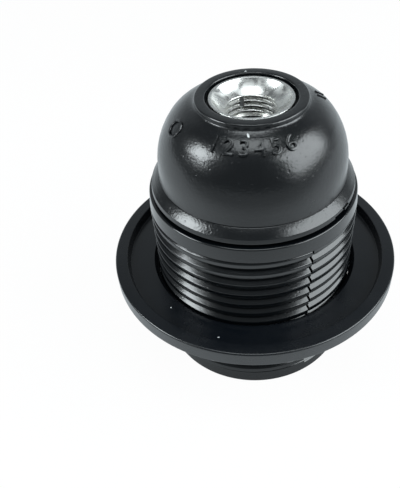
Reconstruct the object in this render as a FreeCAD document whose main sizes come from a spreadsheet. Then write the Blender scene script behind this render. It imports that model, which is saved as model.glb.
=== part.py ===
"""E27 lamp holder of moulded phenolic with one shade ring and a metal M10 entry.

Z runs up the axis from the barrel's mouth, where the lamp goes in, to the entry at the
top of the cap. -Y is the front. All sizes are in millimetres and live in the sheet.
"""
import FreeCAD, Part
import math
import os
import re

import Sketcher
from FreeCAD import Vector

doc = FreeCAD.newDocument("lamp_holder")

# Each size: alias, value, what it is.
SIZES = [
    # Barrel, outside
    ("barrel_height", 37.9, "mouth to the top of the collar"),
    ("barrel_radius", 19.9, "crest of the outer thread, and the collar"),
    ("outer_pitch", 2.5, "pitch of the outer thread"),
    ("outer_depth", 0.95, "depth of the outer thread"),
    ("outer_crest", 1.0, "flat on top of an outer ridge"),
    ("outer_foot", 2.0, "width of an outer ridge at its root"),
    ("rim_height", 3.0, "plain band at the mouth"),
    ("rim_inset", 0.3, "how far that band lies inside the thread's crest"),
    ("collar_height", 3.0, "plain band under the cap"),
    ("neck_inset", 4.4, "barrel's crest to the neck thread's crest"),
    ("neck_height", 8.6, "neck above the collar"),
    ("neck_pitch", 2.5, "pitch of the neck thread"),
    ("neck_depth", 0.8, "depth of the neck thread"),
    ("neck_crest", 0.6, "flat on top of a neck ridge"),
    ("neck_foot", 1.4, "width of a neck ridge at its root"),
    ("edge_bevel", 0.25, "bevel of moulded edges"),
    ("neck_lead", 1.5, "plain foot of the neck below its thread"),
    ("neck_thread_height", 6.0, "height that the neck's thread climbs"),
    ("tooth_count", 20, "lock teeth round the collar's top"),
    ("tooth_height", 0.3, "height of a lock tooth"),
    ("tooth_width", 0.7, "width of a lock tooth"),
    ("tooth_inset", 0.6, "lock tooth to the neck and to the skirt's bore"),
    # Barrel, inside
    ("outer_wall", 1.85, "wall under the outer thread"),
    ("lamp_bore", 12.25, "bore of the lamp socket, at the crest of the E27 thread"),
    ("lamp_room", 1.1, "how far the socket widens above that bore, round the side contact"),
    ("lamp_room_height", 8.0, "height of that widening"),
    ("lamp_lead_in", 0.8, "bevel at the socket's mouth"),
    ("sleeve_wall", 2.95, "wall round the lamp socket"),
    ("sleeve_setback", 2.0, "mouth to the end of the inner sleeve"),
    ("slot_roof", 4.9, "material over the slot between the walls"),
    ("shelf_depth", 7.9, "collar's top down to the shelf that carries the contact block"),
    ("shelf_height", 2.0, "thickness of that shelf"),
    ("shelf_ledge", 2.2, "how far the shelf reaches in from the neck's bore"),
    ("neck_wall", 1.6, "wall under the neck thread"),
    # Shade ring
    ("ring_level", 21.5, "mouth to the ring's rim at rest"),
    ("ring_radius", 28.75, "outside of the ring"),
    ("ring_edge", 3.2, "height of the ring's edge"),
    ("ring_rim_width", 2.45, "raised rim"),
    ("ring_recess", 0.7, "rim down to the ring's floor"),
    ("ring_floor", 2.2, "thickness of the floor"),
    ("ring_drop", 8.2, "rim down to the foot of the hub"),
    ("ring_hub_wall", 1.65, "wall of the hub"),
    ("ring_clearance", 0.15, "gap between the ring's crests and the barrel's"),
    ("ring_lip", 0.9, "plain lip at the top of the ring's bore"),
    ("ring_thread_depth", 0.9, "depth of the ring's thread"),
    # Cap
    ("cap_gap", 0.5, "collar to the cap's skirt"),
    ("cap_height", 17.2, "skirt's foot to the top of the cap's collar"),
    ("skirt_inset", 0.6, "barrel's crest to the outside of the skirt"),
    ("skirt_height", 1.6, "upright part of the skirt"),
    ("skirt_wall", 1.5, "wall of the skirt"),
    ("skirt_slot", 1.9, "depth of the slot inside the skirt"),
    ("shoulder_inset", 0.85, "skirt to the top edge of the shoulder"),
    ("shoulder_curve", 2.4, "rounding of the shoulder"),
    ("shoulder_height", 1.35, "height of the shoulder"),
    ("dome_inset", 1.95, "skirt to the foot of the dome"),
    ("dome_foot", 4.8, "skirt's foot to where the dome starts to curve"),
    ("dome_step", 0.15, "step between the shoulder and the dome"),
    ("dome_side_curve", 14.0, "radius of the dome's side"),
    ("dome_top_curve", 8.0, "radius of the dome's top"),
    ("dome_turn", 35.5, "degrees of the side curve"),
    ("dome_wall", 2.0, "wall of the dome"),
    ("top_radius", 9.9, "outside of the cap's collar"),
    ("top_flare", 0.4, "how far the dome meets that collar outside it"),
    ("entry_gap", 0.55, "gap round the entry's metal rim"),
    ("top_bore_depth", 2.0, "depth of the recess for the entry's flange"),
    ("boss_wall", 2.4, "wall of the boss under the dome's top"),
    ("boss_depth", 4.5, "dome's lip down to the foot of the boss"),
    ("socket_wall", 1.3, "wall between the cap's thread and the skirt's slot"),
    ("cap_thread_height", 4.0, "height that the cap's thread climbs"),
    ("thread_clearance", 0.2, "gap all round the cap's thread"),
    ("key_width", 6.6, "width of the cap's two keys"),
    ("key_inset", 0.9, "barrel's bore to the outside of the keys"),
    ("key_wall", 1.6, "thickness of a key"),
    ("key_room", 0.9, "gap under the keys"),
    ("notch_bearing", -35.0, "bearing of the notch in the skirt's foot"),
    ("notch_width", 5.6, "width of the notch"),
    ("notch_height", 1.1, "height of the notch"),
    ("key_root", 0.4, "how far a key reaches into the dome's wall"),
    # Entry
    ("entry_flange_radius", 7.45, "metal rim"),
    ("entry_setback", 0.35, "cap's top down to the metal rim"),
    ("entry_radius", 6.6, "body of the bush"),
    ("entry_play", 0.02, "bush to the cap's bore"),
    ("entry_mouth", 6.95, "funnel at the rim"),
    ("entry_funnel_depth", 2.0, "depth of the funnel"),
    ("entry_bore", 4.5, "minor radius of the M10 x 1 thread"),
    ("entry_tail", 1.3, "foot of the boss down to the foot of the bush"),
    ("entry_lip_radius", 3.9, "stop lip"),
    ("entry_lip_height", 0.7, "height of the stop lip"),
    ("lock_bearing", 112.0, "bearing of the lock screw"),
    ("lock_radius", 1.25, "lock screw"),
    ("lock_height", 1.5, "foot of the boss up to the lock screw's axis"),
    ("lock_length", 2.8, "length of the lock screw"),
    ("lock_setback", 0.5, "entry's bore to the lock screw's tip"),
    ("driver_slot", 0.6, "width of a screwdriver slot"),
    ("tag_thick", 0.8, "earth tag"),
    ("tag_ring_width", 1.6, "width of the tag's ring round the bush"),
    ("tag_width", 4.6, "width of the tag's lug"),
    ("tag_end", 1.7, "earth screw's axis to the end of the lug"),
    ("earth_gap", 0.2, "bush to the head of the earth screw"),
    ("latch_thick", 0.35, "leaf of the latch"),
    ("latch_play", 0.1, "latch to the walls of its slot"),
    ("latch_length", 6.0, "length of that leaf"),
    # Contact block
    ("block_clearance", 0.3, "block to the barrel's bore"),
    ("block_seat", 0.1, "play between the block and the shelf"),
    ("block_base", 6.0, "thickness of the block's base"),
    ("tower_height", 7.9, "height of the two towers"),
    ("block_boss", 1.4, "boss under the block"),
    ("key_clearance", 0.2, "gap beside each key"),
    ("terminal_inset", 5.3, "barrel's bore to the middle of a terminal"),
    ("terminal_thick", 5.0, "terminal across"),
    ("terminal_width", 7.0, "terminal along"),
    ("terminal_play", 0.1, "terminal to the walls of its pocket"),
    ("terminal_height", 7.6, "terminal upright"),
    ("wire_drop", 0.3, "terminal's middle down to the wire hole"),
    ("rivet_grip", 1.5, "how far a rivet reaches into its terminal"),
    ("wire_radius", 1.2, "wire hole"),
    ("screw_radius", 1.5, "terminal screw's shank"),
    ("screw_head_radius", 2.3, "terminal screw's head"),
    ("screw_head_height", 1.4, "height of that head"),
    ("screw_tip", 0.5, "wire hole's axis to the screw's tip"),
    ("rivet_radius", 1.2, "rivet's shank"),
    ("rivet_head_radius", 1.7, "rivet's head"),
    ("rivet_head_height", 0.7, "height of that head"),
    ("strip_thick", 0.5, "contact strip"),
    ("strip_width", 5.0, "width of a contact strip"),
    ("strip_end", 2.2, "rivet to the end of its strip"),
    ("side_bend", 2.3, "rivet to the side contact's bend"),
    ("centre_drop", 2.6, "how far the centre contact reaches down"),
    ("side_drop", 6.4, "how far the side contact reaches down"),
    ("side_gap", 0.35, "side contact to the socket's bore"),
    ("tongue_root", 3.2, "axis to the centre tongue's bend"),
    ("tongue_flat", 1.1, "half of the tongue's flat end"),
    ("hinge_gap", 0.12, "gap at the centre tongue's bend"),
]

sheet = doc.addObject("Spreadsheet::Sheet", "Sizes")
for row, (alias, size, meaning) in enumerate(SIZES, start=1):
    sheet.set("A%d" % row, meaning)
    sheet.set("B%d" % row, str(size))
    sheet.setAlias("B%d" % row, alias)
doc.recompute()

NAME = re.compile(r"[a-z]+(?:_[a-z0-9]+)+")


def tied(expression):
    """Gives each size named in an expression its place in the sheet."""
    return NAME.sub(r"Sizes.\g<0>", expression)


def value(expression):
    """Works out an expression of sizes as a plain number."""
    return float(sheet.evalExpression(tied(expression)))


def new_body(label):
    body = doc.addObject("PartDesign::Body", label)
    body.Label = label
    return body


def origin_plane(body, role):
    return [f for f in body.Origin.OriginFeatures if f.Role == role][0]


def draw(body, name, corners, role="XZ_Plane", level=None, turn=None):
    """Draws a closed outline on an origin plane, every corner tied to the sheet.

    A corner is (across, up) for a straight side, or (across, up, radius, bend) for an arc
    that ends there: bend is 1 where the outline turns left along it and -1 where right.
    """
    sketch = body.newObject("Sketcher::SketchObject", name)
    sketch.AttachmentSupport = [(origin_plane(body, role), "")]
    sketch.MapMode = "FlatFace"
    if level is not None:
        sketch.setExpression("AttachmentOffset.Base.z", tied(level))
    places = [Vector(value(c[0]), value(c[1]), 0) for c in corners]
    ends = []
    for index, corner in enumerate(corners):
        start, end = places[index - 1], places[index]
        if len(corner) == 2:
            sketch.addGeometry(Part.LineSegment(start, end), False)
            ends.append((1, 2))
            continue
        radius, bend = value(corner[2]), corner[3]
        half = (end - start) * 0.5
        rise = math.sqrt(max(radius ** 2 - half.Length ** 2, 0.0))
        left = Vector(-half.y, half.x, 0).normalize()
        centre = start + half + left * rise * bend
        first, last = (start, end) if bend > 0 else (end, start)
        turns = [math.atan2(p.y - centre.y, p.x - centre.x) for p in (first, last)]
        circle = Part.Circle(centre, Vector(0, 0, 1), radius)
        sketch.addGeometry(Part.ArcOfCircle(circle, turns[0], turns[1]), False)
        ends.append((1, 2) if bend > 0 else (2, 1))
        tie = sketch.addConstraint(Sketcher.Constraint("Radius", index, radius))
        sketch.setExpression("Constraints[%d]" % tie, tied(corner[2]))
    for index, corner in enumerate(corners):
        after = (index + 1) % len(corners)
        here, there = ends[index][1], ends[after][0]
        sketch.addConstraint(Sketcher.Constraint("Coincident", index, here, after, there))
        for kind, text, axis in (("DistanceX", corner[0], -2), ("DistanceY", corner[1], -1)):
            if text == "0":
                sketch.addConstraint(Sketcher.Constraint("PointOnObject", index, here, axis))
                continue
            tie = sketch.addConstraint(
                Sketcher.Constraint(kind, -1, 1, index, here, value(text)))
            sketch.setExpression("Constraints[%d]" % tie, tied(text))
    return sketch


def revolve(body, name, corners):
    """Turns an outline of (radius, height) corners about the axis."""
    sketch = draw(body, name + "_section", corners)
    turned = body.newObject("PartDesign::Revolution", name)
    turned.Profile = sketch
    turned.ReferenceAxis = (sketch, ["V_Axis"])
    turned.Angle = 360.0
    return turned


def helix(body, name, corners, pitch, height, cut=False):
    """Runs an outline of (radius, height) corners along a right-handed helix."""
    sketch = draw(body, name + "_section", corners)
    kind = "PartDesign::SubtractiveHelix" if cut else "PartDesign::AdditiveHelix"
    coil = body.newObject(kind, name)
    coil.Profile = sketch
    coil.ReferenceAxis = (sketch, ["V_Axis"])
    coil.Mode = 0
    coil.setExpression("Pitch", tied(pitch))
    coil.setExpression("Height", tied(height))
    coil.LeftHanded = False
    coil.Reversed = False
    return coil


def extrude(body, name, corners, length, role="XY_Plane", level=None, cut=False, back=False):
    """Pads or pockets an outline from a plane, upward unless back is set."""
    sketch = draw(body, name + "_outline", corners, role, level)
    kind = "PartDesign::Pocket" if cut else "PartDesign::Pad"
    solid = body.newObject(kind, name)
    solid.Profile = sketch
    solid.setExpression("Length", tied(length))
    solid.Reversed = back
    return solid


def break_edges(body, name, rings, size):
    """Bevels the circular edges that lie at the given (radius, height) places."""
    doc.recompute()
    wanted = [(value(r), value(z)) for r, z in rings]
    base = body.Tip
    found = []
    for number, edge in enumerate(base.Shape.Edges, start=1):
        curve = edge.Curve
        if not isinstance(curve, Part.Circle):
            continue
        if any(abs(curve.Radius - r) < 1e-4 and abs(curve.Center.z - z) < 1e-4
               for r, z in wanted):
            found.append("Edge%d" % number)
    bevel = body.newObject("PartDesign::Chamfer", name)
    bevel.Base = (base, found)
    bevel.setExpression("Size", tied(size))
    return bevel


def ridge(root, depth, foot, crest, level, outward=True):
    """Corners of one thread ridge that stands on a wall, sunk 0.1 into it."""
    sign, other = ("+", "-") if outward else ("-", "+")
    return [
        ("%s %s 0.1" % (root, other), "%s - (%s) / 2" % (level, foot)),
        ("%s" % root, "%s - (%s) / 2" % (level, foot)),
        ("%s %s (%s)" % (root, sign, depth), "%s - (%s) / 2" % (level, crest)),
        ("%s %s (%s)" % (root, sign, depth), "%s + (%s) / 2" % (level, crest)),
        ("%s" % root, "%s + (%s) / 2" % (level, foot)),
        ("%s %s 0.1" % (root, other), "%s + (%s) / 2" % (level, foot)),
    ]


def circle_sketch(body, name, centre, radius, role="XY_Plane", level=None):
    """Draws a circle on an origin plane, its centre and radius tied to the sheet."""
    sketch = body.newObject("Sketcher::SketchObject", name)
    sketch.AttachmentSupport = [(origin_plane(body, role), "")]
    sketch.MapMode = "FlatFace"
    if level is not None:
        sketch.setExpression("AttachmentOffset.Base.z", tied(level))
    middle = Vector(value(centre[0]), value(centre[1]), 0)
    sketch.addGeometry(Part.Circle(middle, Vector(0, 0, 1), value(radius)), False)
    tie = sketch.addConstraint(Sketcher.Constraint("Radius", 0, value(radius)))
    sketch.setExpression("Constraints[%d]" % tie, tied(radius))
    for kind, text, axis in (("DistanceX", centre[0], -2), ("DistanceY", centre[1], -1)):
        if text == "0":
            sketch.addConstraint(Sketcher.Constraint("PointOnObject", 0, 3, axis))
            continue
        tie = sketch.addConstraint(Sketcher.Constraint(kind, -1, 1, 0, 3, value(text)))
        sketch.setExpression("Constraints[%d]" % tie, tied(text))
    return sketch


def round_feature(body, name, centre, radius, length, role="XY_Plane", level=None,
                  cut=False, back=False):
    """Pads or drills a round from a plane, along its normal unless back is set."""
    sketch = circle_sketch(body, name + "_outline", centre, radius, role, level)
    kind = "PartDesign::Pocket" if cut else "PartDesign::Pad"
    solid = body.newObject(kind, name)
    solid.Profile = sketch
    solid.setExpression("Length", tied(length))
    solid.Reversed = back
    return solid


def rectangle(left, right, near, far):
    """Corners of a rectangle, anticlockwise."""
    return [(left, near), (right, near), (right, far), (left, far)]


def polar(body, name, feature, count):
    """Repeats a feature round the Z axis."""
    pattern = body.newObject("PartDesign::PolarPattern", name)
    pattern.Originals = [feature]
    pattern.Axis = (origin_plane(body, "Z_Axis"), [""])
    pattern.Angle = 360.0
    pattern.setExpression("Occurrences", tied(count))
    body.Tip = pattern
    return pattern


def circle_sketch(body, name, centre, radius, role="XY_Plane", level=None):
    """Draws a circle on an origin plane, its centre and radius tied to the sheet."""
    sketch = body.newObject("Sketcher::SketchObject", name)
    sketch.AttachmentSupport = [(origin_plane(body, role), "")]
    sketch.MapMode = "FlatFace"
    if level is not None:
        sketch.setExpression("AttachmentOffset.Base.z", tied(level))
    middle = Vector(value(centre[0]), value(centre[1]), 0)
    sketch.addGeometry(Part.Circle(middle, Vector(0, 0, 1), value(radius)), False)
    tie = sketch.addConstraint(Sketcher.Constraint("Radius", 0, value(radius)))
    sketch.setExpression("Constraints[%d]" % tie, tied(radius))
    for kind, text, axis in (("DistanceX", centre[0], -2), ("DistanceY", centre[1], -1)):
        if text == "0":
            sketch.addConstraint(Sketcher.Constraint("PointOnObject", 0, 3, axis))
            continue
        tie = sketch.addConstraint(Sketcher.Constraint(kind, -1, 1, 0, 3, value(text)))
        sketch.setExpression("Constraints[%d]" % tie, tied(text))
    return sketch


def round_feature(body, name, centre, radius, length, role="XY_Plane", level=None,
                  cut=False, back=False):
    """Pads or drills a round from a plane, along its normal unless back is set."""
    sketch = circle_sketch(body, name + "_outline", centre, radius, role, level)
    kind = "PartDesign::Pocket" if cut else "PartDesign::Pad"
    solid = body.newObject(kind, name)
    solid.Profile = sketch
    solid.setExpression("Length", tied(length))
    solid.Reversed = back
    return solid


def rectangle(left, right, near, far):
    """Corners of a rectangle, anticlockwise."""
    return [(left, near), (right, near), (right, far), (left, far)]


def polar(body, name, feature, count):
    """Repeats a feature round the Z axis."""
    pattern = body.newObject("PartDesign::PolarPattern", name)
    pattern.Originals = [feature]
    pattern.Axis = (origin_plane(body, "Z_Axis"), [""])
    pattern.Angle = 360.0
    pattern.setExpression("Occurrences", tied(count))
    body.Tip = pattern
    return pattern


def face_bearing(feature, bearing, distance="0"):
    """Turns a feature's upright sketch about the Z axis, to face a bearing from +X."""
    sketch = feature.Profile[0]
    sketch.AttachmentOffset = FreeCAD.Placement(
        Vector(0, 0, 0), FreeCAD.Rotation(Vector(0, 1, 0), 1))
    turn = "(90 + %s) * 1 deg" % bearing
    sketch.setExpression("AttachmentOffset.Rotation.Angle", tied(turn))
    sketch.setExpression("AttachmentOffset.Base.x", tied("%s * sin(%s)" % (distance, turn)))
    sketch.setExpression("AttachmentOffset.Base.z", tied("%s * cos(%s)" % (distance, turn)))
    return feature


def turn_flat(feature, bearing):
    """Turns a feature's flat sketch about the Z axis, to lie at a bearing from +X."""
    feature.Profile[0].setExpression("AttachmentOffset.Rotation.Angle",
                                     tied("%s * 1 deg" % bearing))
    return feature


# ---------------------------------------------------------------- places
# Expressions of the sizes above, shared by the pieces that meet there.
RIM = "(barrel_radius - rim_inset)"
OUTER_ROOT = "(barrel_radius - outer_depth)"
OUTER_BORE = "(barrel_radius - outer_depth - outer_wall)"
COLLAR_FOOT = "(barrel_height - collar_height)"
NECK = "(barrel_radius - neck_inset)"
NECK_ROOT = "(barrel_radius - neck_inset - neck_depth)"
NECK_BORE = "(barrel_radius - neck_inset - neck_depth - neck_wall)"
NECK_TOP = "(barrel_height + neck_height)"
SLEEVE = "max(lamp_bore + sleeve_wall; %s + neck_wall)" % NECK_BORE
SLOT_TOP = "(barrel_height - slot_roof)"
SHELF = "(barrel_height - shelf_depth)"
SHELF_FOOT = "(barrel_height - shelf_depth - shelf_height)"
SHELF_RADIUS = "(barrel_radius - neck_inset - neck_depth - neck_wall - shelf_ledge)"
ROOM_FOOT = "(barrel_height - shelf_depth - shelf_height - lamp_room_height)"

RING_BORE = "(barrel_radius + ring_clearance)"
RING_ROOT = "(barrel_radius + ring_clearance + ring_thread_depth)"
RING_HUB = "(barrel_radius + ring_clearance + ring_thread_depth + ring_hub_wall)"
RING_FLOOR = "(ring_level - ring_recess)"
RING_FOOT = "(ring_level - ring_drop)"
RING_RIM = "(ring_radius - ring_rim_width)"

CAP_FOOT = "(barrel_height + cap_gap)"
CAP_TOP = "(barrel_height + cap_gap + cap_height)"
SKIRT = "(barrel_radius - skirt_inset)"
SKIRT_BORE = "(barrel_radius - skirt_inset - skirt_wall)"
SHOULDER = "(barrel_radius - skirt_inset - shoulder_inset)"
SHOULDER_TOP = "(barrel_height + cap_gap + skirt_height + shoulder_height)"
CAP_ROOT = "(barrel_radius - neck_inset + thread_clearance)"
CAP_SOCKET = "(barrel_radius - neck_inset + thread_clearance + socket_wall)"
DOME = "(barrel_radius - skirt_inset - dome_inset)"
DOME_LEVEL = "(barrel_height + cap_gap + dome_foot)"
DOME_MIDDLE = "(barrel_radius - skirt_inset - dome_inset - dome_side_curve)"
TURN_COS = "cos(dome_turn * 1 deg)"
TURN_SIN = "sin(dome_turn * 1 deg)"
TOP_MIDDLE = "(%s + (dome_side_curve - dome_top_curve) * %s)" % (DOME_MIDDLE, TURN_COS)
TOP_LEVEL = "(%s + (dome_side_curve - dome_top_curve) * %s)" % (DOME_LEVEL, TURN_SIN)
TOP_FLARE = "(top_radius + top_flare)"
SIDE_IN = "(dome_side_curve - dome_wall)"
TOP_IN = "(dome_top_curve - dome_wall)"

ENTRY_TOP = "(barrel_height + cap_gap + cap_height - entry_setback)"
ENTRY_SEAT = "(barrel_height + cap_gap + cap_height - top_bore_depth)"
TOP_BORE = "(entry_flange_radius + entry_gap)"
BOSS = "(entry_radius + boss_wall)"
EARTH = "(entry_radius + earth_gap + screw_head_radius)"

BLOCK_FOOT = "(barrel_height - shelf_depth + block_seat)"
BLOCK_RADIUS = "(barrel_radius - neck_inset - neck_depth - neck_wall - block_clearance)"
BLOCK_BASE_TOP = "(barrel_height - shelf_depth + block_seat + block_base)"
UNDERSIDE = "(barrel_height - shelf_depth + block_seat - block_boss)"
STRIP_FOOT = "(barrel_height - shelf_depth + block_seat - block_boss - strip_thick)"
KEY_FOOT = "(barrel_height - shelf_depth + block_seat + block_base + key_room)"
KEY_RADIUS = "(barrel_radius - neck_inset - neck_depth - neck_wall - key_inset)"
TERMINAL = "(barrel_radius - neck_inset - neck_depth - neck_wall - terminal_inset)"
WIRE_LEVEL = "(%s + terminal_height / 2 - wire_drop)" % BLOCK_BASE_TOP
TERMINAL_TOP = "(%s + terminal_height)" % BLOCK_BASE_TOP
SIDE_REACH = "(lamp_bore - side_gap)"


def on_arc(middle, level, radius, across):
    """Height of the point of an arc at a given distance from the axis."""
    return "(%s + sqrt(%s ^ 2 - (%s - %s) ^ 2))" % (level, radius, across, middle)


LIP = on_arc(TOP_MIDDLE, TOP_LEVEL, "dome_top_curve", TOP_FLARE)
BOSS_FOOT = "(%s - boss_depth)" % LIP
ENTRY_FOOT = "(%s - boss_depth - entry_tail)" % LIP
LOCK_LEVEL = "(%s - boss_depth + lock_height)" % LIP
TAG_FOOT = "(%s - boss_depth - tag_thick)" % LIP


# ---------------------------------------------------------------- barrel
def build_barrel():
    """Two walls joined under the collar, with the outer thread, the neck's and lock teeth."""
    body = new_body("barrel")
    revolve(body, "barrel_walls", [
        (OUTER_BORE, "0"),
        (RIM, "0"),
        (RIM, "rim_height"),
        (OUTER_ROOT, "rim_height + outer_depth - rim_inset"),
        (OUTER_ROOT, COLLAR_FOOT),
        ("barrel_radius", COLLAR_FOOT),
        ("barrel_radius", "barrel_height"),
        (NECK_ROOT, "barrel_height"),
        (NECK_ROOT, NECK_TOP),
        (NECK_BORE, NECK_TOP),
        (NECK_BORE, SHELF),
        (SHELF_RADIUS, SHELF),
        (SHELF_RADIUS, SHELF_FOOT),
        ("lamp_bore + lamp_room", SHELF_FOOT),
        ("lamp_bore + lamp_room", ROOM_FOOT),
        ("lamp_bore", ROOM_FOOT),
        ("lamp_bore", "sleeve_setback + lamp_lead_in"),
        ("lamp_bore + lamp_lead_in", "sleeve_setback"),
        (SLEEVE, "sleeve_setback"),
        (SLEEVE, SLOT_TOP),
        (OUTER_BORE, SLOT_TOP),
    ])
    break_edges(body, "barrel_edges", [
        (RIM, "0"),
        ("barrel_radius", "barrel_height"),
        ("barrel_radius", COLLAR_FOOT),
    ], "edge_bevel")
    first = "(rim_height + outer_foot)"
    helix(body, "outer_thread",
          ridge(OUTER_ROOT, "outer_depth", "outer_foot", "outer_crest", first),
          "outer_pitch", "%s - %s" % (COLLAR_FOOT, first))
    helix(body, "neck_thread",
          ridge(NECK_ROOT, "neck_depth", "neck_foot", "neck_crest",
                "barrel_height + neck_lead"),
          "neck_pitch", "neck_thread_height")
    tooth = extrude(body, "lock_tooth", rectangle(
        "%s + tooth_inset" % NECK_ROOT, "%s - tooth_inset" % SKIRT_BORE,
        "-tooth_width / 2", "tooth_width / 2"),
        "tooth_height * 2", level="barrel_height - tooth_height")
    polar(body, "lock_teeth", tooth, "tooth_count")
    return body


# ---------------------------------------------------------------- shade ring
def build_shade_ring():
    """A flanged ring with a raised rim, a hub below it and a thread in its bore."""
    body = new_body("shade_ring")
    revolve(body, "ring_walls", [
        (RING_BORE, RING_FLOOR),
        (RING_BORE, "%s - ring_lip" % RING_FLOOR),
        (RING_ROOT, "%s - ring_lip - ring_thread_depth" % RING_FLOOR),
        (RING_ROOT, RING_FOOT),
        (RING_HUB, RING_FOOT),
        (RING_HUB, "%s - ring_floor" % RING_FLOOR),
        (RING_RIM, "%s - ring_floor" % RING_FLOOR),
        (RING_RIM, "ring_level - ring_edge"),
        ("ring_radius", "ring_level - ring_edge"),
        ("ring_radius", "ring_level"),
        (RING_RIM, "ring_level"),
        (RING_RIM, RING_FLOOR),
    ])
    break_edges(body, "ring_edges", [
        ("ring_radius", "ring_level"),
        ("ring_radius", "ring_level - ring_edge"),
        (RING_RIM, "ring_level"),
        (RING_HUB, RING_FOOT),
    ], "edge_bevel * 1.3")
    start = "(%s + outer_foot * 0.6)" % RING_FOOT
    helix(body, "ring_thread",
          ridge(RING_ROOT, "ring_thread_depth", "outer_foot", "outer_crest", start, False),
          "outer_pitch", "%s - ring_lip - ring_thread_depth - %s" % (RING_FLOOR, start))
    return body


# ---------------------------------------------------------------- cap
def build_cap():
    """A domed shell: skirt, shoulder, dome in two arcs, top collar, boss, thread and keys."""
    body = new_body("cap_dome")
    room_top = "(%s + thread_clearance)" % NECK_TOP
    room_radius = "(%s + sqrt(%s ^ 2 - (%s - %s) ^ 2))" % (
        DOME_MIDDLE, SIDE_IN, room_top, DOME_LEVEL)
    revolve(body, "cap_walls", [
        (SKIRT_BORE, CAP_FOOT),
        (SKIRT, CAP_FOOT),
        (SKIRT, "%s + skirt_height" % CAP_FOOT),
        (SHOULDER, SHOULDER_TOP, "shoulder_curve", 1),
        ("%s + dome_step" % DOME, "%s + dome_step" % SHOULDER_TOP),
        (DOME, DOME_LEVEL),
        ("%s + dome_side_curve * %s" % (DOME_MIDDLE, TURN_COS),
         "%s + dome_side_curve * %s" % (DOME_LEVEL, TURN_SIN), "dome_side_curve", 1),
        (TOP_FLARE, LIP, "dome_top_curve", 1),
        ("top_radius", "%s + top_flare" % LIP),
        ("top_radius", CAP_TOP),
        (TOP_BORE, CAP_TOP),
        (TOP_BORE, ENTRY_SEAT),
        ("entry_radius + entry_play", ENTRY_SEAT),
        ("entry_radius + entry_play", BOSS_FOOT),
        (BOSS, BOSS_FOOT),
        (BOSS, on_arc(TOP_MIDDLE, TOP_LEVEL, TOP_IN, BOSS)),
        ("%s + %s * %s" % (DOME_MIDDLE, SIDE_IN, TURN_COS),
         "%s + %s * %s" % (DOME_LEVEL, SIDE_IN, TURN_SIN), TOP_IN, -1),
        (room_radius, room_top, SIDE_IN, -1),
        (CAP_ROOT, room_top),
        (CAP_ROOT, CAP_FOOT),
        (CAP_SOCKET, CAP_FOOT),
        (CAP_SOCKET, "%s + skirt_slot" % CAP_FOOT),
        (SKIRT_BORE, "%s + skirt_slot" % CAP_FOOT),
    ])
    break_edges(body, "cap_edges", [
        (SKIRT, CAP_FOOT),
        (SKIRT, "%s + skirt_height" % CAP_FOOT),
        ("top_radius", CAP_TOP),
        (TOP_BORE, CAP_TOP),
    ], "edge_bevel")
    helix(body, "cap_thread",
          ridge(CAP_ROOT, "neck_depth",
                "neck_pitch - neck_crest - 2 * thread_clearance",
                "neck_pitch - neck_foot - 2 * thread_clearance",
                "barrel_height + neck_lead + neck_pitch / 2", False),
          "neck_pitch", "cap_thread_height")
    height = "%s + key_root - %s" % (
        on_arc(DOME_MIDDLE, DOME_LEVEL, SIDE_IN, KEY_RADIUS), KEY_FOOT)
    for name, near, far in (
            ("front_key", "-%s" % KEY_RADIUS, "-%s + key_wall" % KEY_RADIUS),
            ("rear_key", "%s - key_wall" % KEY_RADIUS, KEY_RADIUS)):
        extrude(body, name, rectangle("-key_width / 2", "key_width / 2", near, far),
                height, level=KEY_FOOT)
    notch = extrude(body, "notch", rectangle(
        "%s - skirt_wall / 3" % SKIRT_BORE, "%s + skirt_wall" % SKIRT,
        "-notch_width / 2", "notch_width / 2"),
        "notch_height", level=CAP_FOOT, cut=True, back=True)
    turn_flat(notch, "notch_bearing")
    lock_hole(body, "%s + boss_wall" % BOSS)
    return body


# ---------------------------------------------------------------- entry
def lock_hole(body, length):
    """Drills the lock screw's hole outward from the axis."""
    hole = round_feature(body, "lock_screw_hole", ("0", LOCK_LEVEL), "lock_radius",
                         length, role="XZ_Plane", cut=True, back=True)
    return face_bearing(hole, "lock_bearing")


def build_entry_bush():
    """The metal entry: flange, funnel, bore for the M10 x 1 thread, and stop lip."""
    body = new_body("entry_bush")
    revolve(body, "bush_walls", [
        ("entry_lip_radius", ENTRY_FOOT),
        ("entry_radius", ENTRY_FOOT),
        ("entry_radius", ENTRY_SEAT),
        ("entry_flange_radius", ENTRY_SEAT),
        ("entry_flange_radius", ENTRY_TOP),
        ("entry_mouth", ENTRY_TOP),
        ("entry_bore", "%s - entry_funnel_depth" % ENTRY_TOP),
        ("entry_bore", "%s + entry_lip_height" % ENTRY_FOOT),
        ("entry_lip_radius", "%s + entry_lip_height" % ENTRY_FOOT),
    ])
    break_edges(body, "bush_edges", [
        ("entry_flange_radius", ENTRY_TOP),
        ("entry_mouth", ENTRY_TOP),
    ], "edge_bevel / 2")
    lock_hole(body, "entry_radius * 1.5")
    return body


def build_lock_screw():
    """Headless slotted screw that locks a threaded tube in the entry."""
    body = new_body("entry_lock_screw")
    tip = "(entry_bore + lock_setback)"
    shank = round_feature(body, "lock_shank", ("0", LOCK_LEVEL), "lock_radius",
                          "lock_length", role="XZ_Plane")
    face_bearing(shank, "lock_bearing", tip)
    slot = extrude(body, "lock_slot", rectangle(
        "-lock_radius * 1.2", "lock_radius * 1.2",
        "%s - driver_slot / 2" % LOCK_LEVEL, "%s + driver_slot / 2" % LOCK_LEVEL),
        "lock_length * 0.3", role="XZ_Plane", cut=True)
    face_bearing(slot, "lock_bearing", "(entry_bore + lock_setback + lock_length)")
    return body


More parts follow.
